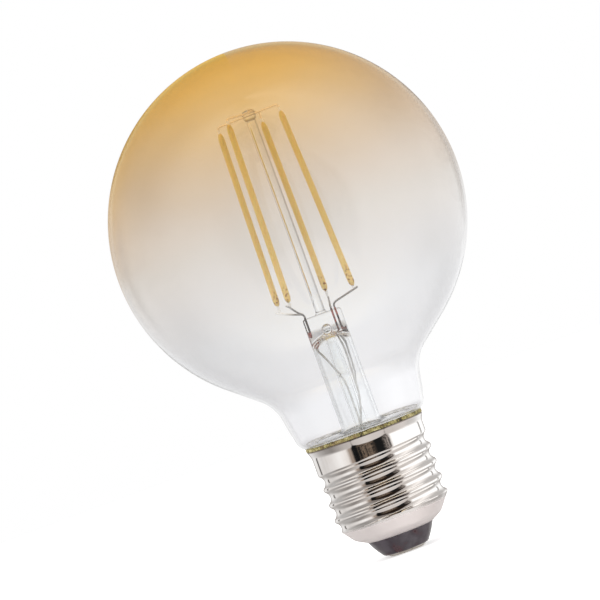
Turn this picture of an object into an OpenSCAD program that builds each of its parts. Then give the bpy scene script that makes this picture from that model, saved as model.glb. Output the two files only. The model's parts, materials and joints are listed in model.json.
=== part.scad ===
// Filament globe lamp with a screw cap, and a radio driver inside the cap.
// Millimetres. +Z runs up the lamp's axis, from the cap to the top of the globe.
// The origin is the middle of the centre contact's end face.

/* [Globe] */
// Outer diameter of the glass globe
globe_d = 80; // [78:0.5:82]
// Height of the globe's centre above the end of the centre contact
globe_centre_z = 78; // [77:0.5:79]
// Thickness of the blown glass
glass_wall = 0.7; // [0.5:0.1:0.8]
// Angle below the equator where the straight shoulder leaves the sphere
shoulder_angle = 50.7; // [49:0.1:52]
// Radius of the hollow curve between the shoulder and the neck
neck_fillet_r = 9; // [6:0.5:10]
// Outer radius of the neck where its lower rounding starts
neck_r = 15.25; // [15:0.05:15.5]
// Taper of the neck on each side, in degrees
neck_taper = 10.2; // [9:0.1:11]
// Radius of the rounding where the neck turns in above the cap
neck_round_r = 3.3; // [3:0.1:3.4]
// Outer radius of the glass skirt that stands inside the cap
skirt_r = 12; // [11.9:0.05:12.1]
// Height of the skirt's lower end
skirt_low_z = 25.5; // [25.3:0.1:25.8]

/* [Stem] */
// Outer radius of the stem tube
stem_r = 4.55; // [4.5:0.05:4.7]
// Wall thickness of the stem tube and its flare
stem_wall = 0.55; // [0.5:0.05:0.6]
// Height where the tube turns out into its flare
flare_z = 30.4; // [30.2:0.1:30.8]
// Height where the tube starts to close under the press
dome_z = 48.2; // [48:0.1:48.4]
// Top of the flat glass press
press_top_z = 56.2; // [56:0.1:56.4]
// Thickness of the press, front to back
press_depth = 3; // [2.6:0.1:3.4]
// Radius of the exhaust tube
exhaust_r = 1.5; // [1.4:0.05:1.5]
// Height of the exhaust tube's sealed tip
exhaust_tip_z = 19; // [18.5:0.1:19.5]
// Radius of the glass support rod
rod_r = 1.1; // [0.9:0.1:1.3]
// Height of the support rod's top end
rod_top_z = 101.8; // [101.6:0.1:101.9]
// Radius of the glass button on the rod
button_r = 1.55; // [1.4:0.05:1.7]
// Height of the glass button
button_h = 2.5; // [2.4:0.1:2.6]

/* [Filaments] */
// Radius of the phosphor coat
phosphor_r = 0.72; // [0.6:0.02:0.76]
// Length of the tapered end of the coat
phosphor_taper = 1.7; // [1.2:0.1:2]
// Width of the strip that carries the chips
strip_w = 0.7; // [0.6:0.05:0.7]
// Thickness of the strip
strip_t = 0.3; // [0.2:0.05:0.3]
// Distance from one chip to the next
chip_pitch = 1.5; // [1.2:0.1:2]

/* [Wires] */
// Radius of the lead wires
lead_r = 0.22; // [0.2:0.01:0.22]
// Radius of the bridge wires at the top
bridge_r = 0.18; // [0.15:0.01:0.2]

/* [Cap] */
// Outer radius of the cap's collar and of its thread crests
cap_r = 13.05; // [13.03:0.01:13.2]
// Depth of the thread
thread_depth = 0.95; // [0.9:0.01:1]
// Rise of the thread in one turn
thread_pitch = 3.629; // [3.6:0.001:3.65]
// Radius of the thread's rounded crest
thread_crest_r = 0.7; // [0.6:0.05:1.1]
// Thickness of the cap's sheet metal
sheet_t = 0.35; // [0.3:0.05:0.35]
// Radius of the insulator at the shell's lower edge
insulator_r = 7.65; // [7.6:0.05:7.7]
// Radius of the centre contact
contact_r = 4.6; // [4.2:0.1:4.8]
// Thickness of the centre contact's plate
contact_t = 0.56; // [0.5:0.02:0.6]

/* [Driver] */
// Width of the driver board
board_w = 17; // [16:0.5:17.5]
// Height of the driver board
board_h = 15; // [14.5:0.1:15]
// Thickness of the driver board
board_t = 1; // [0.8:0.1:1]
// Width of the radio board
radio_w = 11; // [10:0.5:12]
// Height of the radio board
radio_h = 13; // [12.5:0.5:13.5]

/* [Hidden] */
PIECES = ["substrate", "chips", "phosphor", "top_terminal", "bottom_terminal"];
FILAMENTS = [0, 1, 2, 3];
$fn = 64;

// Clearance between pieces that are only slipped together
gap = 0.06;

// Chords in each computed arc, sides of a round wire, and rings between a wire's points
arc_steps = 12;
globe_steps = 44;
wire_sides = 8;
wire_rings = 4;

// The lowest that the neck's rounding reaches
neck_low_z = 28.4;
// Radii of the flare's bend at its rim and of the fillet below the stem tube
flare_bend_r = 1;
flare_fillet_r = 1.6;
// Thickness of the exhaust tube's wall, and what its top stays clear of the stem
exhaust_wall = 0.4;
exhaust_gap = 0.05;
// Rounding of the button's two edges
button_edge_r = 0.9;

// Each filament's phosphor coat, upper and lower end
filament_top = [[-7.6, 3.3, 101.8], [-5, -6.2, 102.5], [2.4, 7.3, 101.2], [6.8, -3.9, 101.6]];
filament_low = [[-8.6, 3.7, 60.8], [-5.9, -7.2, 60.8], [2.8, 8, 60.4], [8.7, -5, 59.5]];
// How far each terminal stands out of the coat, above and below
terminal_up = 0.7;
terminal_down = [1.4, 0.95, 1.1, 0.45];
// How far a terminal reaches into the coat, its width, and the coat's radius at its tip
terminal_in = 1;
terminal_w = 0.6;
phosphor_tip_r = 0.42;
chip_size = [0.12, 0.25, 0.5];
bond_wire = [0.04, 0.05];

// Where the sealed wires pass through the press, and how far they reach
common_x = -3.75;
warm_x = 2.45;
cool_x = 3.3;
seal_top_z = 56.5;
common_low_z = 49.2;
pair_low_z = 49.9;

// The routes of the bent wires, point by point
inner_routes = [
  [[-3.75, 0.23, 56.52], [-3.8, 0.27, 56.95], [-4.25, 0.65, 57.4], [-5.9, 1.8, 57.95],
   [-7.7, 3.05, 58.7], [-8.6, 3.7, 59.15], [-9.6, 4.3, 59.6]],
  [[-3.75, -0.23, 56.52], [-3.78, -0.35, 56.95], [-4, -0.9, 57.35], [-4.8, -3, 58.05],
   [-5.75, -6.7, 59.3], [-6.15, -7.5, 59.85], [-6.8, -8, 60.4]],
  [[2.45, 0, 56.52], [2.46, 0.12, 56.95], [2.52, 0.6, 57.35], [2.6, 2.2, 57.7],
   [2.7, 5, 58.35], [2.8, 7.4, 58.95], [2.8, 8.4, 59.05]],
  [[3.3, 0, 56.52], [3.33, -0.1, 56.95], [3.6, -0.42, 57.4], [4.4, -1.15, 57.75],
   [5.8, -2.4, 58.1], [7.8, -4.3, 58.6], [8.7, -5, 58.8], [9.5, -5.6, 59.05]]
];
common_route = [[-3.75, 0, 49.18], [-3.45, -0.5, 48.2], [-2.3, -1.8, 46.2], [-1.2, -2.6, 43.5],
  [-0.5, -2.9, 42], [-0.1, -3, 39.3], [-0.1, -3, 35], [-0.2, -2.9, 30.8], [-1.5, -2.6, 27],
  [-3.8, -0.5, 24.6], [-5, 2.78, 22.4]];
warm_route = [[2.45, 0, 49.88], [2.35, -0.7, 48.2], [2.25, -1.3, 46], [2, -1.8, 41.5],
  [1.9, -1.9, 39.3], [1.8, -2, 37], [1.1, -2.2, 33.7], [0.1, -2.2, 30], [1.9, -2, 26.5],
  [4, -0.2, 24.4], [5, 2.78, 22.4]];
cool_route = [[3.3, 0, 49.88], [3.2, 0.6, 48.2], [3, 1.2, 46], [2.8, 2, 42.6], [2.2, 2.4, 39.8],
  [1.95, 2.5, 37], [1.2, 2.6, 33.7], [0.3, 2.6, 30], [1.2, 2.5, 26.5], [2.4, 2.5, 24.2],
  [2.6, 2.78, 22.6]];
live_route = [[0, 0, 4.9], [0, 0.3, 5.8], [0.2, 1.2, 7], [0.5, 2.3, 8], [0.6, 2.78, 8.9]];
neutral_route = [[-7, 2.78, 21.6], [-7.4, 2.4, 22.8], [-8.8, 1.4, 24], [-10.6, 0.5, 24.3],
  [-12.6, 0, 24.3]];
outer_bridge_route = [[-7.6, 3.3, 102.5], [-7.5, 3.25, 102.85], [-7.1, 3.1, 103],
  [-1.43, 0.73, 103], [1.43, -0.73, 103], [6.3, -3.6, 103], [6.7, -3.85, 102.85],
  [6.8, -3.9, 102.3]];
inner_bridge_route = [[-5, -6.2, 103.2], [-4.9, -6, 103.45], [-4.6, -5.6, 103.55],
  [-0.76, -1.41, 103.55], [0.76, 1.41, 103.55], [2.25, 6.7, 103.5], [2.38, 7.15, 103.3],
  [2.4, 7.3, 101.9]];
bridge_bore_r = bridge_r + gap;

// The cap shell's outline without its thread, as height and radius
lip_z = 28;
lip_low_z = 25.8;
shell_low_z = 4.57;
thread_low_z = 6.6;
// How far the lip turns out, how steeply it starts to, and the steps in its curve
lip_flare = 0.57;
lip_power = 1.6;
lip_steps = 4;
lip_curve = [for (t = [1 / lip_steps:1 / lip_steps:1])
  [lip_low_z + (lip_z - lip_low_z) * t, cap_r + lip_flare * pow(t, lip_power)]];
shell_outline = concat(
  [[shell_low_z, insulator_r], [5.6, 9.6], [5.95, 10.15], [6.3, 10.5], [9.66, cap_r]],
  [[lip_low_z, cap_r]], lip_curve);
shell_walls = [[shell_low_z, 2 * sheet_t], [5.95, 1.5 * sheet_t], [7, sheet_t]];
crest_z = 20.59;
thread_seam = 90;
thread_fade = 0.25;
shell_sides = 36;
rows_per_turn = 7;
// The thread's two arcs meet smoothly: this is the root's radius, and where they meet
thread_root_r = (pow(thread_pitch / 2, 2) + pow(thread_depth, 2)) / (2 * thread_depth)
  - thread_crest_r;
thread_meet = thread_pitch / 2 * thread_crest_r / (thread_crest_r + thread_root_r);

cement_low_z = 24.9;
cement_top_z = 28.8;
// How far the cement's bead lies over the lip, and its rounding
cement_over = 0.7;
cement_round = 0.2;
sleeve_r = 11.6;
sleeve_t = 0.3;
sleeve_low_z = 8.6;
sleeve_top_z = 23.6;
insulator_neck_r = 6.9;
insulator_top_z = 5.9;
insulator_foot_r = 5.6;
insulator_foot_round = 0.9;
shank_r = 1;
shank_top_z = 4.9;

// Faces and edges of the two boards
board_front_y = 3;
board_back_y = board_front_y + board_t;
board_low_z = 8;
radio_t = 0.8;
radio_back_y = -4.8;
radio_front_y = radio_back_y - radio_t;
radio_low_z = 9;

// What the boards carry: each package's size and its lowest corner or foot
chip_body = [4.9, 1.25, 3.9];
chip_low = [2, board_front_y - chip_body[1], 16];
chip_leg = [0.4, 0.2, 0.7];
chip_leg_pitch = 1.27;
rectifier_size = [4.8, 1.3, 4];
rectifier_low = [-7, board_front_y - rectifier_size[1], 13];
can_r = 2.8;
can_h = 10.5;
can_foot = [-3.2, board_back_y + can_r, 9.5];
fuse_r = 0.9;
fuse_h = 5;
fuse_foot = [0.9, board_back_y + fuse_r, 15];
inductor_foot = [4.3, board_back_y, 12.5];
inductor_r = 2.3;
inductor_waist_r = 1;
inductor_flange = 0.7;
inductor_h = 4.2;
connector_size = [8, board_front_y - radio_back_y, 2];
connector_low = [-connector_size[0] / 2, radio_back_y, 9.5];
radio_chip_size = [4, 0.8, 4];
radio_chip_low = [-radio_chip_size[0] / 2, radio_front_y - radio_chip_size[1], 12];
tin_size = [8, 1.4, 7];
tin_t = 0.25;
tin_low = [-tin_size[0] / 2, radio_front_y - tin_size[1], 10.5];
antenna_track = 0.5;
antenna_foil = 0.1;
antenna_step = 1.5;
antenna_rise = 2.6;
antenna_folds = 6;
antenna_low_z = 18.6;

function unit(v) = v / norm(v);

// Points on an arc, from one angle to another
function arc(c, r, from, to, steps) =
  [for (i = [0:steps]) c + r * [cos(from + (to - from) * i / steps),
                                sin(from + (to - from) * i / steps)]];

// The point where two lines cross, each a point and a direction
function crossing(p, d, q, e) =
  p + d * (((q[0] - p[0]) * e[1] - (q[1] - p[1]) * e[0]) / (d[0] * e[1] - d[1] * e[0]));

function reversed(list) = [for (i = [len(list) - 1:-1:0]) list[i]];

// Half the globe's outline from the pole down to the skirt, set in from the outside by "inset"
function globe_outline(inset) =
  let (
    centre = [0, globe_centre_z],
    a = shoulder_angle,
    leave = centre + globe_d / 2 * [cos(a), -sin(a)],
    round_c = [skirt_r, skirt_turn_z() + neck_round_r],
    arrive = round_c + neck_round_r * [cos(neck_taper), -sin(neck_taper)],
    fillet_c = crossing(
      leave + neck_fillet_r * [cos(a), -sin(a)], [-sin(a), -cos(a)],
      arrive + neck_fillet_r * [cos(neck_taper), -sin(neck_taper)],
      [sin(neck_taper), cos(neck_taper)])
  )
  concat(
    arc(centre, globe_d / 2 - inset, 90, -a, globe_steps),
    arc(fillet_c, neck_fillet_r + inset, 180 - a, 180 - neck_taper, arc_steps),
    arc(round_c, neck_round_r - inset, -neck_taper, -90, arc_steps),
    [[skirt_r - inset, skirt_turn_z() + inset], [skirt_r - inset, skirt_low_z]]
  );

// The height where the neck's rounding meets the skirt, set by the neck's own radius
function skirt_turn_z() = neck_low_z + (neck_r - skirt_r - neck_round_r * cos(neck_taper));

// The stem's outline, set in by "inset" from its outer side
function stem_outline(inset) =
  let (
    rim_r = skirt_r - glass_wall,
    bend_c = [rim_r - flare_bend_r, flare_z - flare_fillet_r - flare_bend_r]
  )
  concat(
    arc([0, dome_z], stem_r - inset, 90, 0, arc_steps),
    arc([stem_r + flare_fillet_r, flare_z], flare_fillet_r + inset, 180, 270, arc_steps),
    arc(bend_c, flare_bend_r - inset, 90, 0, arc_steps),
    [[rim_r - inset, skirt_low_z]]
  );

function shell(outline, inner) = concat(outline, reversed(inner));

// A smooth curve through a wire's points
function curve_point(a, b, c, d, t) =
  0.5 * (2 * b + (c - a) * t + (2 * a - 5 * b + 4 * c - d) * t * t
         + (3 * b - a - 3 * c + d) * t * t * t);
function smooth_route(p, rings) =
  let (last = len(p) - 1)
  concat(
    [for (i = [0:last - 1]) for (k = [0:rings - 1])
      curve_point(p[max(i - 1, 0)], p[i], p[i + 1], p[min(i + 2, last)], k / rings)],
    [p[last]]
  );

// Each ring's direction, and a side vector carried along the route without twist
function directions(p) =
  [for (i = [0:len(p) - 1]) unit(p[min(i + 1, len(p) - 1)] - p[max(i - 1, 0)])];
function across(v, direction) = unit(v - (v * direction) * direction);
function carried(d, i, v) =
  i == len(d) ? [] : let (side = across(v, d[i])) concat([side], carried(d, i + 1, side));

module tube(route, r) {
  n = wire_sides;
  d = directions(route);
  side = carried(d, 0, [0.8, 0.6, 0.1]);
  last = len(route) - 1;
  points = [for (i = [0:last]) for (k = [0:n - 1])
    route[i] + r * (cos(360 * k / n) * side[i] + sin(360 * k / n) * cross(d[i], side[i]))];
  walls = [for (i = [0:last - 1]) for (k = [0:n - 1])
    let (a = i * n + k, b = i * n + (k + 1) % n)
    each [[a, b + n, b], [a, a + n, b + n]]];
  polyhedron(points, concat(walls, [[for (k = [0:n - 1]) k]],
    [[for (k = [n - 1:-1:0]) last * n + k]]));
}

// Places its children on a filament: local Z from its lower to its upper end, local X outwards
module on_filament(i) {
  d = filament_top[i] - filament_low[i];
  turn = atan2(d[1], d[0]);
  outwards = atan2(filament_low[i][1], filament_low[i][0]);
  translate(filament_low[i])
    rotate([0, acos(d[2] / norm(d)), turn])
      rotate([0, 0, outwards - turn])
        children();
}

function coat_length(i) = norm(filament_top[i] - filament_low[i]);

module glass_globe() {
  color("orange", 0.3)
    rotate_extrude()
      polygon(shell(globe_outline(0), globe_outline(glass_wall)));
}

module stem_flare() {
  color("lightcyan", 0.5)
    difference() {
      union() {
        rotate_extrude()
          polygon(shell(stem_outline(0), stem_outline(stem_wall)));
        intersection() {
          translate([-stem_r, -press_depth / 2, dome_z])
            cube([2 * stem_r, press_depth, press_top_z - dome_z]);
          cylinder(r = stem_r, h = press_top_z);
        }
      }
      stem_hollow();
      for (x = [common_x, warm_x, cool_x])
        translate([x, 0, dome_z])
          cylinder(r = lead_r, h = press_top_z);
    }
}

// The space inside the stem tube, closed by a dome under the press
module stem_hollow() {
  inner_r = stem_r - stem_wall;
  rotate_extrude()
    polygon(concat([[0, flare_z]], reversed(arc([0, dome_z], inner_r, 90, 0, arc_steps)),
      [[inner_r, flare_z]]));
}

module exhaust_tube() {
  inner_r = stem_r - stem_wall;
  tip_c = [0, exhaust_tip_z + exhaust_r];
  top = dome_z + sqrt(inner_r * inner_r - exhaust_r * exhaust_r) - exhaust_gap;
  color("lightcyan", 0.5)
    rotate_extrude()
      polygon(concat(
        [[exhaust_r, top]],
        arc(tip_c, exhaust_r, 0, -90, arc_steps),
        arc(tip_c, exhaust_r - exhaust_wall, -90, 0, arc_steps),
        [[exhaust_r - exhaust_wall, top]]
      ));
}

module support_rod() {
  color("lightcyan", 0.5)
    translate([0, 0, press_top_z])
      cylinder(r = rod_r, h = rod_top_z - press_top_z);
}

module rod_button() {
  edge_r = button_edge_r;
  color("lightcyan", 0.5)
    difference() {
      translate([0, 0, rod_top_z])
        rotate_extrude()
          polygon(concat(
            [[0, 0]],
            arc([button_r - edge_r, edge_r], edge_r, -90, 0, arc_steps),
            arc([button_r - edge_r, button_h - edge_r], edge_r, 0, 90, arc_steps),
            [[0, button_h]]
          ));
      bridge_bore(outer_bridge_route[3], outer_bridge_route[4]);
      bridge_bore(inner_bridge_route[3], inner_bridge_route[4]);
    }
}

// A round hole along the straight stretch where a bridge wire passes through the button
module bridge_bore(from, to) {
  run = to - from;
  translate(from - run / 2)
    rotate([0, 90, atan2(run[1], run[0])])
      cylinder(r = bridge_bore_r, h = 2 * norm(run));
}

module bridge_wire_outer() {
  color("dimgray")
    tube(outer_bridge_route, bridge_r);
}

module bridge_wire_inner() {
  color("dimgray")
    tube(inner_bridge_route, bridge_r);
}

module filament_substrate(i) {
  color("lightblue")
    on_filament(i)
      translate([-strip_t / 2, -strip_w / 2, terminal_in])
        cube([strip_t, strip_w, coat_length(i) - 2 * terminal_in]);
}

// The row of chips on the strip's outer face, joined by their bond wire
module filament_chips(i) {
  run = coat_length(i) - 2 * terminal_in;
  count = floor((run - 2) / chip_pitch);
  first = terminal_in + (run - count * chip_pitch) / 2;
  color("royalblue")
    on_filament(i)
      union() {
        translate([strip_t / 2, -bond_wire[1] / 2, first])
          cube([bond_wire[0], bond_wire[1], count * chip_pitch]);
        for (k = [0:count])
          translate([strip_t / 2, -chip_size[1] / 2, first + k * chip_pitch - chip_size[2] / 2])
            cube(chip_size);
      }
}

module filament_phosphor(i) {
  length = coat_length(i);
  color("goldenrod")
    difference() {
      on_filament(i)
        rotate_extrude()
          polygon([[0, 0], [phosphor_tip_r, 0], [phosphor_r, phosphor_taper],
                   [phosphor_r, length - phosphor_taper], [phosphor_tip_r, length],
                   [0, length]]);
      filament_substrate(i);
      filament_chips(i);
      filament_top_terminal(i);
      filament_bottom_terminal(i);
    }
}

module terminal(i, low, high) {
  color("silver")
    on_filament(i)
      translate([-strip_t / 2, -terminal_w / 2, low])
        cube([strip_t, terminal_w, high - low]);
}

module filament_top_terminal(i) {
  length = coat_length(i);
  terminal(i, length - terminal_in, length + terminal_up);
}

module filament_bottom_terminal(i) {
  terminal(i, -terminal_down[i], terminal_in);
}

module inner_lead(i) {
  color("dimgray")
    tube(smooth_route(inner_routes[i], wire_rings), lead_r);
}

// A copper-clad wire sealed in the press
module dumet(x, low) {
  color("indianred")
    translate([x, 0, low])
      cylinder(r = lead_r, h = seal_top_z - low);
}

module outer_lead(route) {
  color("gray")
    tube(smooth_route(route, wire_rings), lead_r);
}

// Height of the crest that ends the collar, at an angle counted from the thread's start
function collar_low_z(angle) = crest_z + thread_pitch * angle / 360;

// How far the thread lies below its crest, "x" from the nearest crest
function groove(x) =
  x < thread_meet
    ? thread_crest_r - sqrt(thread_crest_r * thread_crest_r - x * x)
    : thread_depth - thread_root_r
      + sqrt(pow(thread_root_r, 2) - pow(thread_pitch / 2 - x, 2));

function eased(t) = let (c = min(max(t, 0), 1)) c * c * (3 - 2 * c);

// The shell's outer radius: its plain outline, cut by the thread's groove
function shell_r(angle, z) =
  let (
    seam_angle = angle < thread_seam ? angle + 360 : angle,
    turns = (collar_low_z(seam_angle) - z) / thread_pitch,
    part = turns - floor(turns),
    along = floor(turns) + (thread_seam + 360 - seam_angle) / 360,
    cut = turns <= 0 ? 0 : eased(along / thread_fade) * groove(thread_pitch * min(part, 1 - part))
  )
  min(cap_r - cut + max(0, lookup(z, shell_outline) - cap_r), lookup(z, shell_outline));

// The pressed metal shell: the same shape inside and out, a sheet's thickness apart
module cap_shell() {
  step = thread_pitch / rows_per_turn;
  heights = concat(
    [for (i = [lip_steps - 1:-1:0]) lip_curve[i][0]],
    [for (z = [lip_low_z:-step:thread_low_z]) z],
    [6.3, 5.95, 5.6, shell_low_z]
  );
  n = shell_sides;
  rows = len(heights);
  outside = [for (z = heights) for (k = [0:n - 1])
    let (a = 360 * k / n, r = shell_r(a, z)) [r * cos(a), r * sin(a), z]];
  inside = [for (z = heights) for (k = [0:n - 1])
    let (a = 360 * k / n, r = shell_r(a, z) - lookup(z, shell_walls))
    [r * cos(a), r * sin(a), z]];
  walls = [for (i = [0:rows - 2]) for (k = [0:n - 1])
    let (a = i * n + k, b = i * n + (k + 1) % n, c = b + n, d = a + n, in = rows * n)
    each [[a, b, c], [a, c, d], [a + in, c + in, b + in], [a + in, d + in, c + in]]];
  rims = [for (k = [0:n - 1])
    let (m = (k + 1) % n, low = (rows - 1) * n, in = rows * n)
    each [[k, k + in, m + in], [k, m + in, m],
          [low + k, low + m, low + m + in], [low + k, low + m + in, low + k + in]]];
  color("gainsboro")
    polyhedron(concat(outside, inside), concat(walls, rims));
}

// Cement between the cap's collar and the glass, risen a little above the lip
module cap_cement() {
  fill_r = cap_r - sheet_t - gap;
  bead_r = cap_r + cement_over;
  color("darkkhaki")
    rotate_extrude()
      difference() {
        polygon([[skirt_r - 1, cement_low_z], [fill_r, cement_low_z], [fill_r, lip_low_z],
                 [fill_r + 0.34, lip_z - 0.4], [fill_r + 0.54, lip_z],
                 [bead_r - 0.25, lip_z + gap], [bead_r - gap, cement_top_z - cement_round],
                 [bead_r, cement_top_z], [skirt_r - 1, cement_top_z]]);
        polygon(concat(globe_outline(0), [[0, skirt_low_z]]));
        translate([0, cement_low_z - 1])
          square([skirt_r, skirt_low_z - cement_low_z + 1]);
      }
}

// Black glass that fills the shell's lower end and carries the centre contact
module cap_insulator() {
  foot_c = [insulator_foot_r - insulator_foot_round, contact_t + insulator_foot_round];
  color("black")
    rotate_extrude()
      polygon(concat(
        [[shank_r, contact_t]],
        arc(foot_c, insulator_foot_round, -90, -20, arc_steps),
        [[insulator_r, shell_low_z], [insulator_neck_r, shell_low_z],
         [insulator_neck_r, insulator_top_z - 0.4], [insulator_neck_r - 0.4, insulator_top_z],
         [shank_r + 2, insulator_top_z], [shank_r, insulator_top_z - 1.4]]
      ));
}

// A brass plate with a flat end face, and a shank pressed into the insulator
module centre_contact() {
  edge_z = contact_t - gap;
  color("gold")
    union() {
      rotate_extrude()
        polygon(concat(
          [[0, 0]],
          arc([contact_r - 1, contact_t], contact_t, -90, -45, arc_steps),
          [[contact_r, edge_z], [contact_r, contact_t], [0, contact_t]]
        ));
      cylinder(r = shank_r, h = shank_top_z);
    }
}

module insulating_sleeve() {
  color("white")
    translate([0, 0, sleeve_low_z])
      difference() {
        cylinder(r = sleeve_r, h = sleeve_top_z - sleeve_low_z);
        translate([0, 0, -1])
          cylinder(r = sleeve_r - sleeve_t, h = sleeve_top_z);
      }
}

module driver_board() {
  color("seagreen")
    translate([-board_w / 2, board_front_y, board_low_z])
      cube([board_w, board_t, board_h]);
}

// A small chip package with a row of legs on each side, flat on the board's front
module driver_chip() {
  first_x = chip_low[0] + (chip_body[0] - 3 * chip_leg_pitch - chip_leg[0]) / 2;
  color("dimgray")
    union() {
      translate(chip_low)
        cube(chip_body);
      for (k = [0:3])
        for (z = [chip_low[2] - chip_leg[2], chip_low[2] + chip_body[2]])
          translate([first_x + chip_leg_pitch * k, board_front_y - chip_leg[1], z])
            cube(chip_leg);
    }
}

module bridge_rectifier() {
  color("dimgray")
    translate(rectifier_low)
      cube(rectifier_size);
}

// A can with a pressed groove round its lower end, standing against the board's back
module bulk_capacitor() {
  color("slategray")
    translate(can_foot)
      rotate_extrude()
        polygon([[0, 0], [can_r - 0.2, 0], [can_r, 0.2], [can_r, 1], [can_r - 0.3, 1.3],
                 [can_r, 1.6], [can_r, can_h - 0.3], [can_r - 0.3, can_h], [0, can_h]]);
}

module fuse_resistor() {
  color("tan")
    translate(fuse_foot)
      rotate_extrude()
        polygon([[0, 0], [fuse_r - 0.2, 0], [fuse_r, 0.3], [fuse_r, fuse_h - 0.3],
                 [fuse_r - 0.2, fuse_h], [0, fuse_h]]);
}

// A ferrite drum that stands on the board's back, and the copper wound on it
module inductor_core() {
  color("darkslategray")
    translate(inductor_foot)
      rotate([-90, 0, 0])
        rotate_extrude()
          polygon([[0, 0], [inductor_r, 0], [inductor_r, inductor_flange],
                   [inductor_waist_r, inductor_flange],
                   [inductor_waist_r, inductor_h - inductor_flange],
                   [inductor_r, inductor_h - inductor_flange], [inductor_r, inductor_h],
                   [0, inductor_h]]);
}

module inductor_winding() {
  wound_h = inductor_h - 2 * inductor_flange;
  color("chocolate")
    translate(inductor_foot + [0, inductor_flange, 0])
      rotate([-90, 0, 0])
        difference() {
          cylinder(r = inductor_r - 0.3, h = wound_h);
          translate([0, 0, -1])
            cylinder(r = inductor_waist_r, h = wound_h + 2);
        }
}

// The plastic block that holds the two boards apart and joins their circuits
module board_connector() {
  color("ivory")
    translate(connector_low)
      cube(connector_size);
}

module radio_board() {
  color("darkgreen")
    translate([-radio_w / 2, radio_front_y, radio_low_z])
      cube([radio_w, radio_t, radio_h]);
}

module radio_chip() {
  color("dimgray")
    translate(radio_chip_low)
      cube(radio_chip_size);
}

// An open tin box over the radio chip
module radio_shield() {
  color("silver")
    translate(tin_low)
      difference() {
        cube(tin_size);
        translate([tin_t, tin_t, tin_t])
          cube([tin_size[0] - 2 * tin_t, tin_size[1], tin_size[2] - 2 * tin_t]);
      }
}

// The printed antenna's track, folded back and forth along the radio board's top
module radio_antenna() {
  left = -(antenna_folds * antenna_step + antenna_track) / 2;
  color("orange")
    translate([left, radio_front_y - antenna_foil, antenna_low_z])
      union()
        for (k = [0:antenna_folds]) {
          translate([k * antenna_step, 0, 0])
            cube([antenna_track, antenna_foil, antenna_rise]);
          if (k < antenna_folds)
            translate([k * antenna_step, 0, k % 2 == 0 ? antenna_rise - antenna_track : 0])
              cube([antenna_step + antenna_track, antenna_foil, antenna_track]);
        }
}

module live_wire() {
  color("red")
    tube(smooth_route(live_route, wire_rings), lead_r);
}

module neutral_wire() {
  color("blue")
    tube(smooth_route(neutral_route, wire_rings), lead_r);
}

glass_globe();
stem_flare();
exhaust_tube();
support_rod();
rod_button();
bridge_wire_outer();
bridge_wire_inner();
for (i = FILAMENTS) {
  name = str("filament_", i + 1, "_");
  filament_substrate(i);
  filament_chips(i);
  filament_phosphor(i);
  filament_top_terminal(i);
  filament_bottom_terminal(i);
  inner_lead(i);
}
dumet(common_x, common_low_z);  // dumet_common
dumet(warm_x, pair_low_z);  // dumet_warm
dumet(cool_x, pair_low_z);  // dumet_cool
outer_lead(common_route);  // outer_lead_common
outer_lead(warm_route);  // outer_lead_warm
outer_lead(cool_route);  // outer_lead_cool
cap_shell();
cap_cement();
cap_insulator();
centre_contact();
insulating_sleeve();
driver_board();
driver_chip();
bridge_rectifier();
bulk_capacitor();
fuse_resistor();
inductor_core();
inductor_winding();
board_connector();
radio_board();
radio_chip();
radio_shield();
radio_antenna();
live_wire();
neutral_wire();
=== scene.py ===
import json
import math

import bmesh
import bpy
from mathutils import Matrix, Vector, noise


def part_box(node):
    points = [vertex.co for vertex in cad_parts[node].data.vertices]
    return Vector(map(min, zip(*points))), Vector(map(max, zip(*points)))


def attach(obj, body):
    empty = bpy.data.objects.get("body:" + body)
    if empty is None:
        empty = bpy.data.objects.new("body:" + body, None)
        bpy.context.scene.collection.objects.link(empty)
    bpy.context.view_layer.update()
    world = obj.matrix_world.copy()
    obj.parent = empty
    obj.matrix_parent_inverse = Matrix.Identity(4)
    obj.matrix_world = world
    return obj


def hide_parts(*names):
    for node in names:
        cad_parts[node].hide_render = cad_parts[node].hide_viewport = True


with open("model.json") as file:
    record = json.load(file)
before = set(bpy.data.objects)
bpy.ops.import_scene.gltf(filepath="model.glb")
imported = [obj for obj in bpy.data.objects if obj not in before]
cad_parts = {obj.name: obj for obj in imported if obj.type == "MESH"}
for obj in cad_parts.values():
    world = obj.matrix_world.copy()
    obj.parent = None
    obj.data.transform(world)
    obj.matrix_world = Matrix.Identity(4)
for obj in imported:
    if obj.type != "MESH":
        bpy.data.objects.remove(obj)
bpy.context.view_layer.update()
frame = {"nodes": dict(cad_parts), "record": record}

MM = 0.001
SIDES = 144
GLOBE_SIDES = 256
CAP_SIDES = 240
SMALL_SIDES = 64


# ---------------------------------------------------------------- sizes (millimetres)

def corner(node, high=True):
    """A CAD node's highest or lowest corner, in millimetres."""
    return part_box(node)[1 if high else 0] / MM


def reach(node):
    """A CAD node's largest radius about the lamp's axis, in millimetres."""
    return max(corner(node).x, corner(node).y)


GLOBE_R = reach("glass_globe")
GLOBE_C = (0, corner("glass_globe").z - GLOBE_R)
GLASS_WALL = 0.7
SHOULDER = 50.7  # degrees below the ball's middle, where the fillet to the neck starts
FILLET_R = 9
NECK_R = 15.25
NECK_TAPER = 10.2  # degrees
NECK_ROUND = 3.3
NECK_LOW = 28.4
SKIRT_R = 12
SKIRT_LOW = corner("glass_globe", False).z

STEM_R = 4.55
STEM_WALL = 0.55
PRESS_TOP = corner("stem_flare").z
PRESS_HALF = 1.5  # half of the press's depth
FLARE_Z = 30.4
FLARE_WALL = 0.3
FLARE_FILLET = 1.6
FLARE_BEND = 1

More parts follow.
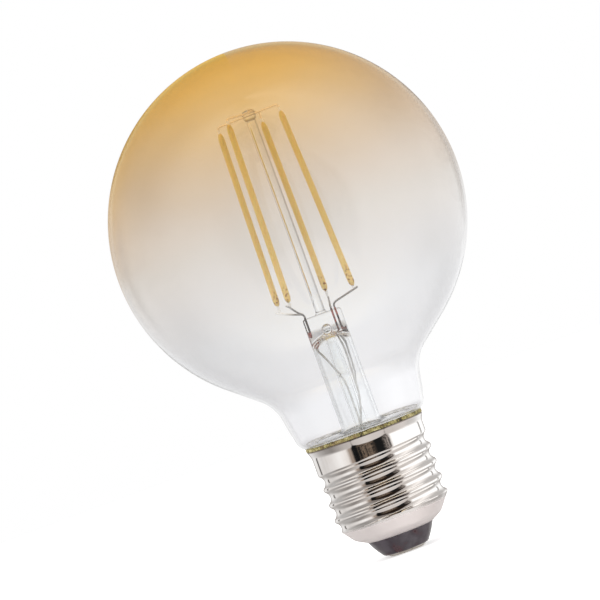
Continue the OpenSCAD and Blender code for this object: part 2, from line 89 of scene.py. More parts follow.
CAP_R = 13.05
SHEET = 0.35
SHELL_LOW = corner("cap_shell", False).z
INSULATOR_R = reach("cap_insulator")
LIP_Z = corner("cap_shell").z
LIP_FROM = 26
LIP_BENT = 0.8
LIP_SLOPE = 0.36
LIP_EDGE = 0.16
LIP_ARC = 8
THREAD_DEPTH = 0.95
THREAD_PITCH = 3.629
CREST_Z = 20.59  # the first crest's height where a turn starts
CREST_R = 0.7
ROOT_R = ((THREAD_PITCH / 2) ** 2 + THREAD_DEPTH ** 2) / (2 * THREAD_DEPTH) - CREST_R
SEAM = 90  # degrees, where a turn starts
FADE = 0.25  # turns that the thread takes to reach its depth


# ---------------------------------------------------------------- outlines (radius, height)

def arc(centre, r, start, end, steps=16):
    """Points on an arc, from one angle to another, in degrees."""
    turn = [math.radians(start + (end - start) * i / steps) for i in range(steps + 1)]
    return [(centre[0] + r * math.cos(a), centre[1] + r * math.sin(a)) for a in turn]


def straight(a, b, steps):
    """Points between two others, without them."""
    return [tuple(p + (q - p) * i / steps for p, q in zip(a, b)) for i in range(1, steps)]


def crossing(p, d, q, e):
    """The point where two lines cross, each a point and a direction."""
    t = ((q[0] - p[0]) * e[1] - (q[1] - p[1]) * e[0]) / (d[0] * e[1] - d[1] * e[0])
    return (p[0] + d[0] * t, p[1] + d[1] * t)


def globe_outline(inset):
    """The globe's outline from the pole to the skirt, set in from its outside."""
    a, t = math.radians(SHOULDER), math.radians(NECK_TAPER)
    turn_z = NECK_LOW + (NECK_R - SKIRT_R - NECK_ROUND * math.cos(t))
    round_c = (SKIRT_R, turn_z + NECK_ROUND)
    leave = (GLOBE_C[0] + GLOBE_R * math.cos(a), GLOBE_C[1] - GLOBE_R * math.sin(a))
    arrive = (round_c[0] + NECK_ROUND * math.cos(t), round_c[1] - NECK_ROUND * math.sin(t))
    fillet_c = crossing(
        (leave[0] + FILLET_R * math.cos(a), leave[1] - FILLET_R * math.sin(a)),
        (-math.sin(a), -math.cos(a)),
        (arrive[0] + FILLET_R * math.cos(t), arrive[1] - FILLET_R * math.sin(t)),
        (math.sin(t), math.cos(t)))
    ball = arc(GLOBE_C, GLOBE_R - inset, 90, -SHOULDER, 110)
    fillet = arc(fillet_c, FILLET_R + inset, 180 - SHOULDER, 180 - NECK_TAPER, 24)
    turn = arc(round_c, NECK_ROUND - inset, -NECK_TAPER, -90, 20)
    ledge = [(SKIRT_R - inset, turn[-1][1])] if inset else []
    return (ball + straight(ball[-1], fillet[0], 6) + fillet + straight(fillet[-1], turn[0], 8)
            + turn + ledge + [(SKIRT_R - inset, SKIRT_LOW)])


# ---------------------------------------------------------------- mesh building

def skin(name, rings, loop=False, sharp=35):
    """A closed mesh over rings of points; a ring of one point is a pole."""
    verts, first, faces = [], [], []
    for ring in rings:
        first.append(len(verts))
        verts.extend([Vector(p) * MM for p in ring])
    last = len(rings) - 1
    for i in range(last + (1 if loop else 0)):
        j = 0 if i == last else i + 1
        a, b = rings[i], rings[j]
        n = max(len(a), len(b))
        for k in range(n):
            m = (k + 1) % n
            if len(a) == 1:
                faces.append((first[i], first[j] + m, first[j] + k))
            elif len(b) == 1:
                faces.append((first[i] + k, first[i] + m, first[j]))
            else:
                faces.append((first[i] + k, first[i] + m, first[j] + m, first[j] + k))
    mesh = bpy.data.meshes.new(name)
    mesh.from_pydata(verts, [], faces)
    bm = bmesh.new()
    bm.from_mesh(mesh)
    bmesh.ops.recalc_face_normals(bm, faces=bm.faces)
    bm.to_mesh(mesh)
    bm.free()
    mesh.polygons.foreach_set("use_smooth", [True] * len(mesh.polygons))
    mesh.set_sharp_from_angle(angle=math.radians(sharp))
    mesh.update()
    obj = bpy.data.objects.new(name, mesh)
    bpy.context.scene.collection.objects.link(obj)
    return obj


def circle(r, z, sides=SIDES, shape=None):
    """A ring about the axis, or a pole where r is nothing; shape changes each point."""
    if r < 1e-6:
        return [(0, 0, z)]
    ring = []
    for k in range(sides):
        a = 2 * math.pi * k / sides
        rr, zz = shape(r, z, a) if shape else (r, z)
        ring.append((rr * math.cos(a), rr * math.sin(a), zz))
    return ring


def revolve(name, outline, loop=False, sides=SIDES, shape=None, sharp=35):
    """A closed mesh from an outline turned about the lamp's axis."""
    return skin(name, [circle(r, z, sides, shape) for r, z in outline], loop, sharp)


def eased(t):
    """A soft step from 0 to 1 as t goes from 0 to 1."""
    c = min(max(t, 0), 1)
    return c * c * (3 - 2 * c)


def wave(r, z, a, scale, seed):
    """A smooth, repeatable unevenness between about -1 and 1 at a place on the lamp."""
    p = Vector((r * math.cos(a), r * math.sin(a), z)) / scale
    return noise.noise(p + Vector((seed, 2.7 * seed, -seed)))


# ---------------------------------------------------------------- nodes

def grey(value, warm=0.0):
    """A grey, or a brownish grey where warm is more than nothing."""
    return (value, value * (1 - warm), value * (1 - 1.6 * warm))


BLACK, WHITE = grey(0.0), grey(1.0)


class Nodes:
    """Makes and links the nodes of one tree."""

    def __init__(self, tree):
        self.tree = tree

    def add(self, kind, **values):
        node = self.tree.nodes.new(kind)
        for key, value in values.items():
            setattr(node, key, value)
        return node

    def feed(self, socket, value):
        """Sets an input to a number or a colour, or links another node's output to it."""
        if isinstance(value, (float, int)):
            socket.default_value = value
        elif isinstance(value, tuple):
            socket.default_value = (*value, 1)
        else:
            self.tree.links.new(value, socket)

    def split(self, vector):
        node = self.add("ShaderNodeSeparateXYZ")
        self.feed(node.inputs["Vector"], vector)
        return node.outputs

    def maths(self, kind, *values):
        node = self.add("ShaderNodeMath", operation=kind)
        for socket, value in zip(node.inputs, values):
            self.feed(socket, value)
        return node.outputs[0]

    def ramp(self, source, stops):
        """A colour ramp; its stops are positions and colours, in rising order."""
        node = self.add("ShaderNodeValToRGB")
        points = node.color_ramp.elements
        points.remove(points[1])
        points[0].position, points[0].color = stops[0][0], (*stops[0][1], 1)
        for place, colour in stops[1:]:
            points.new(place).color = (*colour, 1)
        self.feed(node.inputs["Fac"], source)
        return node.outputs["Color"]

    def mix(self, factor, a, b, blend="MIX"):
        node = self.add("ShaderNodeMix", data_type="RGBA", blend_type=blend)
        factor_in, a_in, b_in = node.inputs[0], node.inputs[6], node.inputs[7]
        for socket, value in ((factor_in, factor), (a_in, a), (b_in, b)):
            self.feed(socket, value)
        return node.outputs[2]

    def tinted(self, a, b):
        """One colour times another."""
        return self.mix(1.0, a, b, "MULTIPLY")

    def where(self, mask, source):
        """The source where the mask is white, and black where it is black."""
        return self.mix(mask, BLACK, source)


# ---------------------------------------------------------------- materials

class Paint(Nodes):
    """A finish: patterns in object space, in millimetres, into a Principled shader."""

    def __init__(self, slot):
        self.slot = slot
        self.material = bpy.data.materials.new(slot)
        self.material.use_nodes = True
        super().__init__(self.material.node_tree)
        self.shader = self.tree.nodes["Principled BSDF"]
        self.coords = self.add("ShaderNodeTexCoord").outputs["Object"]

    def noise(self, size, detail=3, stretch=(1, 1, 1), offset=0.0):
        """A noise whose lumps are about that many millimetres across."""
        place = self.add("ShaderNodeMapping")
        place.inputs["Scale"].default_value = [1 / (MM * size * s) for s in stretch]
        place.inputs["Location"].default_value = (offset, offset, offset)
        self.feed(place.inputs["Vector"], self.coords)
        node = self.add("ShaderNodeTexNoise")
        node.inputs["Scale"].default_value = 1
        node.inputs["Detail"].default_value = detail
        self.feed(node.inputs["Vector"], place.outputs["Vector"])
        return node.outputs["Fac"]

    def span(self, source, low, high, to_low=0.0, to_high=1.0):
        """Goes from to_low to to_high while the source goes from low to high."""
        node = self.add("ShaderNodeMapRange")
        for key, value in (("From Min", low), ("From Max", high),
                           ("To Min", to_low), ("To Max", to_high)):
            node.inputs[key].default_value = value
        self.feed(node.inputs["Value"], source)
        return node.outputs["Result"]

    def vary(self, source, low, high):
        """Stretches the usual range of a noise to two values."""
        return self.span(source, 0.3, 0.7, low, high)

    def along(self, axis, low, high, to_low=0.0, to_high=1.0):
        """Goes from to_low to to_high between two places on an axis, in millimetres."""
        place = self.split(self.coords)[axis]
        return self.span(place, low * MM, high * MM, to_low, to_high)

    def rise(self, low, high, to_low=0.0, to_high=1.0):
        """Goes from to_low to to_high between two heights, in millimetres."""
        return self.along("Z", low, high, to_low, to_high)

    def outward(self, low, high):
        """Goes from 0 to 1 between two distances from the axis, in millimetres."""
        flat = self.add("ShaderNodeVectorMath", operation="MULTIPLY")
        flat.inputs[1].default_value = (1, 1, 0)
        length = self.add("ShaderNodeVectorMath", operation="LENGTH")
        self.feed(flat.inputs[0], self.coords)
        self.feed(length.inputs[0], flat.outputs[0])
        return self.span(length.outputs["Value"], low * MM, high * MM)

    def facing(self):
        """0 where the surface faces the ray, 1 where the ray only grazes it."""
        return self.add("ShaderNodeLayerWeight").outputs["Facing"]

    def bump(self, source, depth):
        """Relief of a depth in millimetres."""
        node = self.add("ShaderNodeBump")
        node.inputs["Strength"].default_value = 1
        node.inputs["Distance"].default_value = depth * MM
        self.feed(node.inputs["Height"], source)
        self.feed(self.shader.inputs["Normal"], node.outputs["Normal"])

    def set(self, **values):
        """Sets or links the shader's inputs, each by its name with _ for a space."""
        for key, value in values.items():
            self.feed(self.shader.inputs[key.replace("_", " ")], value)


def plain(slot, dark, light, size, rough, metal, depth):
    """A finish with an uneven colour, an uneven gloss and fine relief."""
    paint = Paint(slot)
    mottle = paint.noise(size, 4)
    grain = paint.noise(size / 5, 3, offset=7.0)
    both = paint.mix(0.35, mottle, grain)
    paint.set(Base_Color=paint.ramp(both, [(0.32, dark), (0.68, light)]),
              Roughness=paint.vary(mottle, *rough), Metallic=metal)
    paint.bump(grain, depth)
    return paint


# dark colour, light colour, size of the mottle, roughness from and to, metallic, relief
PLAIN = {
    "strip_glass": ((0.62, 0.66, 0.66), (0.72, 0.75, 0.75), 0.8, (0.35, 0.5), 0, 0.01),
    "chip_blue": ((0.03, 0.06, 0.25), (0.06, 0.1, 0.4), 0.3, (0.15, 0.25), 0, 0.004),
    "contact_brass": ((0.6, 0.56, 0.5), (0.82, 0.79, 0.73), 1.2, (0.22, 0.4), 1, 0.02),
    "sleeve_film": ((0.7, 0.7, 0.66), (0.8, 0.8, 0.77), 3, (0.35, 0.5), 0, 0.02),
    "board_laminate": ((0.01, 0.07, 0.035), (0.02, 0.12, 0.06), 1.5, (0.3, 0.45), 0, 0.02),
    "chip_package": ((0.012, 0.012, 0.013), (0.03, 0.03, 0.032), 0.4, (0.5, 0.65), 0, 0.02),
    "capacitor_can": ((0.04, 0.05, 0.08), (0.07, 0.085, 0.13), 2, (0.28, 0.4), 0, 0.01),
    "resistor_body": ((0.36, 0.26, 0.15), (0.48, 0.36, 0.22), 0.8, (0.4, 0.55), 0, 0.02),
    "ferrite": ((0.02, 0.02, 0.022), (0.05, 0.05, 0.053), 0.6, (0.45, 0.7), 0, 0.03),
    "connector_plastic": ((0.62, 0.58, 0.48), (0.72, 0.68, 0.58), 1.5, (0.4, 0.5), 0, 0.015),
    "live_insulation": ((0.4, 0.02, 0.02), (0.52, 0.04, 0.035), 0.8, (0.35, 0.5), 0, 0.01),
    "neutral_insulation": ((0.02, 0.06, 0.3), (0.04, 0.1, 0.42), 0.8, (0.35, 0.5), 0, 0.01),
}


def clear_glass():
    """The stem's blown glass: a faint change of tint, and painted shade where it is seen edge-on:
    grey rims that stand in for the dark edges refraction gives.
    """
    paint = Paint("clear_glass")
    size = 6.0
    tone = paint.ramp(paint.noise(size, 2), [(0.3, (0.965, 0.975, 0.975)),
                                             (0.7, (0.985, 0.99, 0.99))])
    # painted shade: how edge-on the surface is seen darkens the tube's and rod's rims to grey,
    # warmer on the upper rod; near the flare most of it is left off
    facing = paint.facing()
    painted_tube_rim = paint.ramp(facing, [(0.5, WHITE), (0.68, (0.6, 0.62, 0.62)),
                                   (1.0, (0.44, 0.46, 0.46))])
    painted_high_rim = paint.ramp(facing, [(0.2, WHITE), (0.35, (0.74, 0.7, 0.67)),
                                   (1.0, (0.62, 0.58, 0.55))])
    painted_low_rim = paint.ramp(facing, [(0.1, WHITE), (0.28, (0.62, 0.62, 0.63)),
                                  (1.0, (0.44, 0.44, 0.45))])
    painted_rod_rim = paint.mix(paint.rise(92, 64), painted_high_rim, painted_low_rim)
    on_rod = paint.rise(PRESS_TOP + 0.1, PRESS_TOP + 0.4)
    on_flare = paint.rise(31.8, 30.6, 0.0, 0.85)
    rim = paint.mix(on_rod, paint.mix(on_flare, painted_tube_rim, WHITE), painted_rod_rim)
    paint.set(Base_Color=paint.tinted(tone, rim), Roughness=0.0, IOR=1.4,
              Transmission_Weight=1.0, Specular_IOR_Level=0.4)
    paint.bump(paint.noise(size, 1, offset=3.0), 0.004)
    return paint


# what one wall of the globe lets through, at heights up the lamp
TINT = [(28, (0.975, 0.975, 0.985)), (46, (0.97, 0.975, 0.99)), (56, (0.935, 0.94, 0.95)),
        (66, (0.905, 0.895, 0.89)), (76, (0.865, 0.835, 0.8)), (86, (0.85, 0.78, 0.705)),
        (96, (0.855, 0.735, 0.585)), (106, (0.905, 0.72, 0.45)), (113, (0.95, 0.71, 0.32)),
        (118, (0.97, 0.71, 0.24))]


def amber_glass():
    """The globe's glass: clear at the neck, with an amber coat that thickens to the top."""
    paint = Paint("amber_glass")
    size, cloudy = 22, 1.2 * MM
    low, high = TINT[0][0], TINT[-1][0]
    cloud = paint.vary(paint.noise(size, 2), -cloudy, cloudy)
    level = paint.maths("ADD", paint.split(paint.coords)["Z"], cloud)
    tone = paint.ramp(paint.span(level, low * MM, high * MM),
                      [((z - low) / (high - low), colour) for z, colour in TINT])
    # partly real, partly painted shade: seen edge-on, the wall's colour goes toward the tint taken
    # twice, as the longer path through the amber gives, and a further 0.84 grey is painted shade
    # that darkens the globe's outline
    twice = paint.tinted(paint.tinted(tone, tone), (0.84, 0.83, 0.83))
    rim = paint.ramp(paint.facing(), [(0.25, BLACK), (0.5, grey(0.1)), (0.75, grey(0.35)),
                                      (0.86, grey(0.7)), (1.0, grey(0.5))])
    paint.set(Base_Color=paint.mix(rim, tone, twice), Roughness=0.0,
              IOR=1.5, Transmission_Weight=1.0, Specular_IOR_Level=0.2)
    paint.bump(paint.noise(size, 1, offset=5.0), 0.006)
    return paint


def phosphor():
    """Matt silicone full of yellow phosphor, with brown specks and duller ends, and painted shade
    that changes with height.
    """
    paint = Paint("phosphor_coat")
    grain = paint.noise(0.35, 3)
    mottle = paint.noise(2.5, 2, offset=2.0)
    body = paint.ramp(grain, [(0.3, (0.86, 0.6, 0.18)), (0.7, (0.94, 0.72, 0.28))])
    body = paint.mix(paint.span(mottle, 0.35, 0.75, 0.0, 0.3), body, (0.92, 0.72, 0.32))
    # painted shade: the coat's colour is darkened by a factor that changes with height, and loses
    # blue toward the top
    painted_shade = paint.ramp(paint.rise(62, 100), [(0.0, (0.87, 0.87, 0.97)), (0.4, (0.83, 0.83, 0.86)),
                                             (0.7, (0.86, 0.87, 0.85)), (1.0, (0.83, 0.87, 0.79))])
    body = paint.tinted(body, painted_shade)
    specks = paint.span(paint.noise(0.5, 1, offset=9.0), 0.56, 0.61)
    body = paint.mix(paint.where(paint.rise(65.2, 63), specks), body, (0.3, 0.13, 0.05))
    body = paint.mix(paint.where(paint.rise(97.5, 101), paint.mix(0.6, specks, BLACK)), body,
                     (0.45, 0.24, 0.05))
    paint.set(Base_Color=body, Roughness=paint.vary(grain, 0.5, 0.65),
              Specular_IOR_Level=0.3, Subsurface_Weight=0.15, Subsurface_Scale=0.0005)
    paint.bump(grain, 0.02)
    return paint


def wire():
    """Drawn wire: pale inside the stem, darker near the press, and painted pale and warm at the
    top as painted light.
    """
    paint = Paint("nickel_wire")
    # painted light: the ramp's last stop paints the wire pale and warm at the top
    tone = paint.ramp(paint.rise(38, 104), [(0.0, (0.86, 0.86, 0.83)), (0.1, (0.7, 0.69, 0.67)),
                                            (0.17, (0.4, 0.39, 0.37)), (0.2, (0.27, 0.26, 0.25)),
                                            (0.36, (0.4, 0.38, 0.36)), (0.9, (0.6, 0.56, 0.5)),
                                            (0.96, (1.0, 0.8, 0.52))])
    # painted highlight: the outermost lower lead is painted pale and not metallic, as if lit
    outer = paint.mix(paint.rise(64, 70), paint.along("X", -5.5, -8), BLACK)
    tone = paint.mix(outer, tone, (0.97, 0.97, 0.95))
    grain = paint.noise(0.7, 4)
    paint.set(Base_Color=paint.mix(paint.vary(grain, 0.0, 0.2), tone, (0.5, 0.45, 0.4)),
              Roughness=paint.vary(grain, 0.25, 0.45),
              Metallic=paint.mix(outer, paint.rise(70, 98, 0.5, 0.0), BLACK))
    paint.bump(grain, 0.01)
    return paint


def terminals():
    """Stamped terminals: more metallic at the filaments' lower ends, warmer at the top."""
    paint = Paint("terminal_metal")
    height = paint.rise(60, 100)
    grain = paint.noise(0.5, 4)
    tone = paint.ramp(height, [(0.0, (0.88, 0.87, 0.84)), (1.0, (0.98, 0.92, 0.8))])
    paint.set(Base_Color=paint.mix(paint.vary(grain, 0.0, 0.3), tone, (0.6, 0.56, 0.5)),
              Roughness=paint.vary(grain, 0.25, 0.4),
              Metallic=paint.span(height, 0.2, 0.8, 0.4, 0.1))
    paint.bump(grain, 0.01)
    return paint


def copper():
    """Copper-clad wire sealed in glass: dull brown, and red where the oxide is thin."""
    paint = Paint("copper")
    patch, grain = paint.noise(2.2, 2, offset=1.5), paint.noise(0.4, 3)
    dull = paint.ramp(grain, [(0.3, (0.05, 0.035, 0.03)), (0.7, (0.14, 0.1, 0.09))])
    paint.set(Base_Color=paint.mix(paint.span(patch, 0.45, 0.6), dull, (0.45, 0.14, 0.11)),
              Roughness=paint.vary(grain, 0.35, 0.5), Metallic=0.6)
    paint.bump(grain, 0.01)
    return paint


def nickel():
    """Pressed and plated sheet: bright, with drawing marks, a satin cone painted darker as painted
    shade, and a painted shadow along the top of the lip.
    """
    paint = Paint("cap_nickel")
    streak = paint.noise(0.7, 4, (1, 1, 22))
    stain = paint.noise(4.5, 4, offset=4.0)
    marks = paint.mix(0.7, streak, stain)
    tone = paint.ramp(marks, [(0.3, (0.86, 0.83, 0.8)), (0.52, (0.92, 0.9, 0.88)),
                              (0.7, (0.95, 0.94, 0.93))])
    # painted shadow: a dark brown band along the top edge of the lip
    lip = paint.rise(LIP_Z - 0.3, LIP_Z - 0.12, 0.0, 0.8)
    # painted shade: the cone is painted darker and pinker than the sheet above, and has a rougher,
    # less metallic finish
    on_cone = paint.rise(9.1, 8.5)
    body = paint.mix(on_cone, tone, (0.76, 0.7, 0.685))
    paint.set(Base_Color=paint.mix(lip, body, (0.2, 0.14, 0.11)),
              Roughness=paint.mix(on_cone, paint.vary(marks, 0.03, 0.08), grey(0.3)),
              Metallic=paint.span(on_cone, 0, 1, 1.0, 0.55))
    paint.bump(paint.noise(0.8, 2, (12, 12, 1), 8.0), 0.02)
    return paint


def cement():
    """Olive capping cement, grainy and streaky; where the glass covers it, it is painted
    near-white and smooth, as painted light.
    """
    paint = Paint("capping_cement")
    streak = paint.noise(1.5, 4, (1, 1, 1.6))
    grain = paint.noise(0.35, 3, offset=6.0)
    both = paint.mix(0.45, streak, grain)
    body = paint.ramp(both, [(0.41, (0.04, 0.028, 0.01)), (0.47, (0.15, 0.125, 0.035)),
                             (0.53, (0.26, 0.225, 0.085)), (0.61, (0.44, 0.39, 0.21))])
    brown = paint.span(paint.noise(2.6, 2, offset=11.0), 0.52, 0.66, 0.0, 0.7)
    body = paint.mix(brown, body, (0.2, 0.13, 0.06))
    # painted light: the inner face against the glass is painted near-white, so the neck seen
    # through the glass is not dark
    painted_light_inner = paint.outward(13.5, 13.2)
    paint.set(Base_Color=paint.mix(painted_light_inner, body, (0.93, 0.93, 0.92)),
              Roughness=paint.vary(grain, 0.55, 0.8))
    paint.bump(paint.mix(painted_light_inner, both, grey(0.5)), 0.12)
    return paint


def black_glass():
    """Black moulded glass with violet and reddish patches and a soft gloss."""
    paint = Paint("black_glass")
    mottle = paint.noise(3.0, 3)
    tone = paint.ramp(mottle, [(0.36, (0.042, 0.014, 0.02)), (0.48, (0.028, 0.02, 0.029)),
                               (0.66, (0.055, 0.045, 0.056))])
    paint.set(Base_Color=tone, Roughness=paint.vary(mottle, 0.25, 0.4), Coat_Weight=0.5,
              Coat_Roughness=0.12)
    paint.bump(paint.noise(0.9, 3, offset=3.0), 0.02)
    return paint


def pale_floor():
    """A white floor that glows a little, so that it fades into the background."""
    paint = Paint("pale_floor")
    paint.set(Base_Color=paint.ramp(paint.noise(60, 2), [(0.3, grey(0.9)), (0.7, grey(0.92))]),
              Roughness=0.6, Emission_Color=WHITE, Emission_Strength=0.3)
    return paint


PAINTS = [plain(slot, *look) for slot, look in PLAIN.items()]
PAINTS += [amber_glass(), clear_glass(), phosphor(), wire(), terminals(), copper(), nickel(),
           cement(), black_glass()]
MATERIALS = {paint.slot: paint.material for paint in PAINTS}
GLASS_SLOTS = ("amber_glass", "clear_glass")

SLOT_OF = {part["node"]: part["material_slot"] for part in frame["record"]["subparts"]}
for node, obj in frame["nodes"].items():
    obj.data.materials.clear()
    obj.data.materials.append(MATERIALS[SLOT_OF[node]])


def finish_piece(obj, *nodes):
    """The piece stands for those nodes, moves with the lamp and takes the first one's finish."""
    slot = SLOT_OF[nodes[0]]
    obj.data.materials.append(MATERIALS[slot])
    if slot in GLASS_SLOTS:
        obj.visible_shadow = False
    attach(obj, "root")
    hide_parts(*nodes)


# ---------------------------------------------------------------- glass

def blown(r, z, a):
    """The globe's outside is true; its inside wanders a little, as blown glass does."""
    return (r - 0.05 * wave(r, z, a, 24, 3), z)


def build_globe():
    outer = [circle(r, z, GLOBE_SIDES) for r, z in globe_outline(0)]
    inner = [circle(r, z, GLOBE_SIDES, blown) for r, z in reversed(globe_outline(GLASS_WALL))]
    finish_piece(skin("lamp_globe", outer + inner), "glass_globe")


def flare_outline(inset):
    """The stem's foot from the tube down to the flare's rim, outer side or inset."""
    rim_r = SKIRT_R - GLASS_WALL - 0.05
    bend_c = (rim_r - FLARE_BEND, FLARE_Z - FLARE_FILLET - FLARE_BEND)
    thin = min(inset, FLARE_WALL)
    steps = 14
    fillet = arc((STEM_R + FLARE_FILLET, FLARE_Z), FLARE_FILLET + thin, 180, 270, steps)
    fillet = [(r + (inset - thin) * (i / steps - 1), z) for i, (r, z) in enumerate(fillet)]
    return fillet + arc(bend_c, FLARE_BEND - thin, 90, 0, 12) + [(rim_r - thin, SKIRT_LOW)]


def pinched(r, half, z):
    """A ring of the tube where it is squeezed flat, to a half depth, with soft corners."""
    power = 7
    ring = []
    for k in range(SIDES):
        a = 2 * math.pi * k / SIDES
        y = r * math.sin(a)
        squeeze = (1 + (abs(y) / half) ** power) ** (1 / power)
        ring.append((r * math.cos(a), y / squeeze, z))
    return ring


def build_stem():
    rounded_edge = ((1.1, 0), (0.5, 0.03), (0.25, 0.12), (0.08, 0.3), (0, 0.6))
    squeeze_high, squeeze_low, steps = 53.4, 45.5, 26
    tube = (42, 38, 34.5, 32.5)
    hollow_r, hollow_high = STEM_R - STEM_WALL, 46.5
    dome_r, dome_z = 2.2, 48.9
    waist = ((1.5, 51.25), (1.2, 51.6), (1.25, 52.3))
    bubble_r, bubble_z = 1.25, 52.4

    rings = [[(0, 0, PRESS_TOP)]]
    rings += [pinched(STEM_R - inset, PRESS_HALF - inset, PRESS_TOP - down)
              for inset, down in rounded_edge]
    rings += [pinched(STEM_R, PRESS_HALF, z) for z in (55, 54.4, 53.8)]
    for i in range(steps + 1):
        t = i / steps
        half = PRESS_HALF + (1.25 * STEM_R - PRESS_HALF) * eased(t) ** 0.8
        z = squeeze_high - (squeeze_high - squeeze_low) * t
        rings.append(pinched(STEM_R, half if i < steps else 8 * STEM_R, z))
    rings += [circle(STEM_R, z) for z in tube]
    rings += [circle(r, z) for r, z in flare_outline(0)]
    rings += [circle(r, z) for r, z in reversed(flare_outline(STEM_WALL))]
    rings += [circle(hollow_r, z) for z in (*reversed(tube), hollow_high)]
    rings += [circle(r, z) for r, z in arc((hollow_r - dome_r, dome_z), dome_r, 0, 76, 10)]
    rings += [circle(r, z) for r, z in waist]
    rings += [circle(r, z) for r, z in arc((0, bubble_z), bubble_r, 5, 85, 8)]
    rings.append([(0, 0, bubble_z + bubble_r)])
    finish_piece(skin("lamp_stem", rings), "stem_flare")


def build_exhaust():
    r, wall, steps = reach("exhaust_tube"), 0.4, 5
    low, high = corner("exhaust_tube", False).z, corner("exhaust_tube").z - 0.75
    tip = (0, low + r)
    outside = (arc(tip, r, -90, 0, 10) + straight((r, low + r), (r, high), steps)
               + [(r, high)])
    inside = ([(r - wall, high)] + straight((r - wall, high), (r - wall, low + r), steps)
              + arc(tip, r - wall, 0, -90, 10))
    finish_piece(revolve("lamp_exhaust", outside + inside, sides=SMALL_SIDES), "exhaust_tube")


def build_rod():
    r, gap, steps = reach("support_rod"), 0.03, 12
    low, high = corner("support_rod", False).z, corner("support_rod").z
    outline = [(0, low + gap), (r * 1.25, low + gap), (r * 1.12, low + 0.25), (r, low + 0.7)]
    outline += [(r, low + (high - low) * i / steps) for i in range(1, steps)]
    outline += [(r, high - 0.6), (r * 1.06, high - gap), (0, high - gap)]
    finish_piece(revolve("lamp_rod", outline, sides=SMALL_SIDES, sharp=50), "support_rod")


def build_button():
    r, edge = reach("rod_button"), 0.9
    low, high = corner("rod_button", False).z, corner("rod_button").z
    outline = ([(0, low)] + arc((r - edge, low + edge), edge, -90, 0, 8)
               + arc((r - edge, high - edge), edge, 0, 90, 12) + [(0, high)])
    finish_piece(revolve("lamp_button", outline, sides=SMALL_SIDES, sharp=50), "rod_button")


# ---------------------------------------------------------------- filaments

def build_filament(i):
    """A round coat with tapered ends, along the line between the filament's terminals."""
    body_r, tip_r, end_round = 0.73, 0.3, 0.25
    low_taper, high_taper = 1.4, 1.8
    steps, sides = 90, 28
    name = f"filament_{i}"
    low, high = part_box(name + "_phosphor")
    ends = []
    for side in ("_bottom_terminal", "_top_terminal"):
        a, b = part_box(name + side)
        ends.append((a + b) / 2)
    run = (ends[1] - ends[0]).normalized()
    start = ends[0] + run * ((low.z - ends[0].z) / run.z)
    length = (high.z - low.z) / run.z / MM
    across = run.cross(Vector((0.3, 0.9, 0))).normalized()
    up = run.cross(across)
    rings = [[start / MM]]
    for s in range(steps + 1):
        t = length * s / steps
        end = min(t, length - t)
        taper = low_taper if t < length / 2 else high_taper
        r = tip_r + (body_r - tip_r) * math.sin(math.pi / 2 * min(1, end / taper))
        if end < end_round:
            r *= math.sqrt(max(0.2, 1 - (1 - end / end_round) ** 2))
        r -= 0.015 * (1 + noise.noise(Vector((t * 0.9, i * 5.3, 0))))
        centre = start / MM + run * t
        turn = [2 * math.pi * k / sides for k in range(sides)]
        rings.append([centre + r * (math.cos(a) * across + math.sin(a) * up) for a in turn])
    rings.append([start / MM + run * length])
    finish_piece(skin(name + "_coat", rings, sharp=60), name + "_phosphor")


# ---------------------------------------------------------------- cap

def flared(rise):
    """How far the lip has turned out, at a height above where it starts to."""
    bend = min(rise, LIP_BENT)
    return LIP_SLOPE * (bend * bend / (2 * LIP_BENT) + max(0, rise - LIP_BENT))


# the shell's radius and its wall, each at heights in rising order
SHELL_OUTLINE = ([(SHELL_LOW, INSULATOR_R), (5.6, 9.6), (5.95, 10.15), (6.3, 10.5), (9.66, CAP_R)]
                 + [(LIP_FROM + 0.1 * t, CAP_R + flared(0.1 * t)) for t in range(19)]
                 + [(z, CAP_R + flared(z - LIP_FROM) + r - LIP_EDGE)
                    for r, z in arc((0, LIP_Z - LIP_EDGE), LIP_EDGE, 0, 80, LIP_ARC)])
SHELL_WALLS = [(SHELL_LOW, 2 * SHEET), (5.95, 1.5 * SHEET), (7, SHEET), (30, SHEET)]


def lookup(z, table):
    """The value at a height, from a table of heights and values."""
    for (z0, r0), (z1, r1) in zip(table, table[1:]):
        if z <= z1:
            return r0 + (r1 - r0) * max(0, (z - z0) / (z1 - z0))
    return table[-1][1]


def groove(x):
    """Depth below the crest of the rolled thread, x millimetres from it."""
    if x < THREAD_PITCH / 2 * CREST_R / (CREST_R + ROOT_R):
        return CREST_R - math.sqrt(CREST_R ** 2 - x * x)
    return THREAD_DEPTH - ROOT_R + math.sqrt(ROOT_R ** 2 - (THREAD_PITCH / 2 - x) ** 2)


def shell_r(angle, z):
    """The shell's outer radius at an angle in degrees and a height."""
    seam_angle = angle + 360 if angle < SEAM else angle
    turns = (CREST_Z + THREAD_PITCH * seam_angle / 360 - z) / THREAD_PITCH
    part = turns - math.floor(turns)
    along = math.floor(turns) + (SEAM + 360 - seam_angle) / 360
    cut = 0
    if turns > 0:
        cut = eased(along / FADE) * groove(THREAD_PITCH * min(part, 1 - part))
    outline = lookup(z, SHELL_OUTLINE)
    return min(CAP_R - cut + max(0, outline - CAP_R), outline)


def build_shell():
    step = 0.15
    heights = [LIP_Z] + [z for z, _ in reversed(SHELL_OUTLINE[-LIP_ARC - 1:])]
    z = 27.65
    while z > SHELL_LOW + 0.2:
        heights.append(z)
        z -= step
    heights.append(SHELL_LOW)
    sides = []
    for depth in (0, 1):
        side = []
        for z in heights:
            ring = []
            for k in range(CAP_SIDES):
                degrees = 360 * k / CAP_SIDES
                r = shell_r(degrees, z) - depth * lookup(z, SHELL_WALLS)
                a = math.radians(degrees)
                ring.append((r * math.cos(a), r * math.sin(a), z))
            side.append(ring)
        sides.append(side)
    finish_piece(skin("lamp_cap", sides[0] + sides[1][::-1], loop=True, sharp=50), "cap_shell")


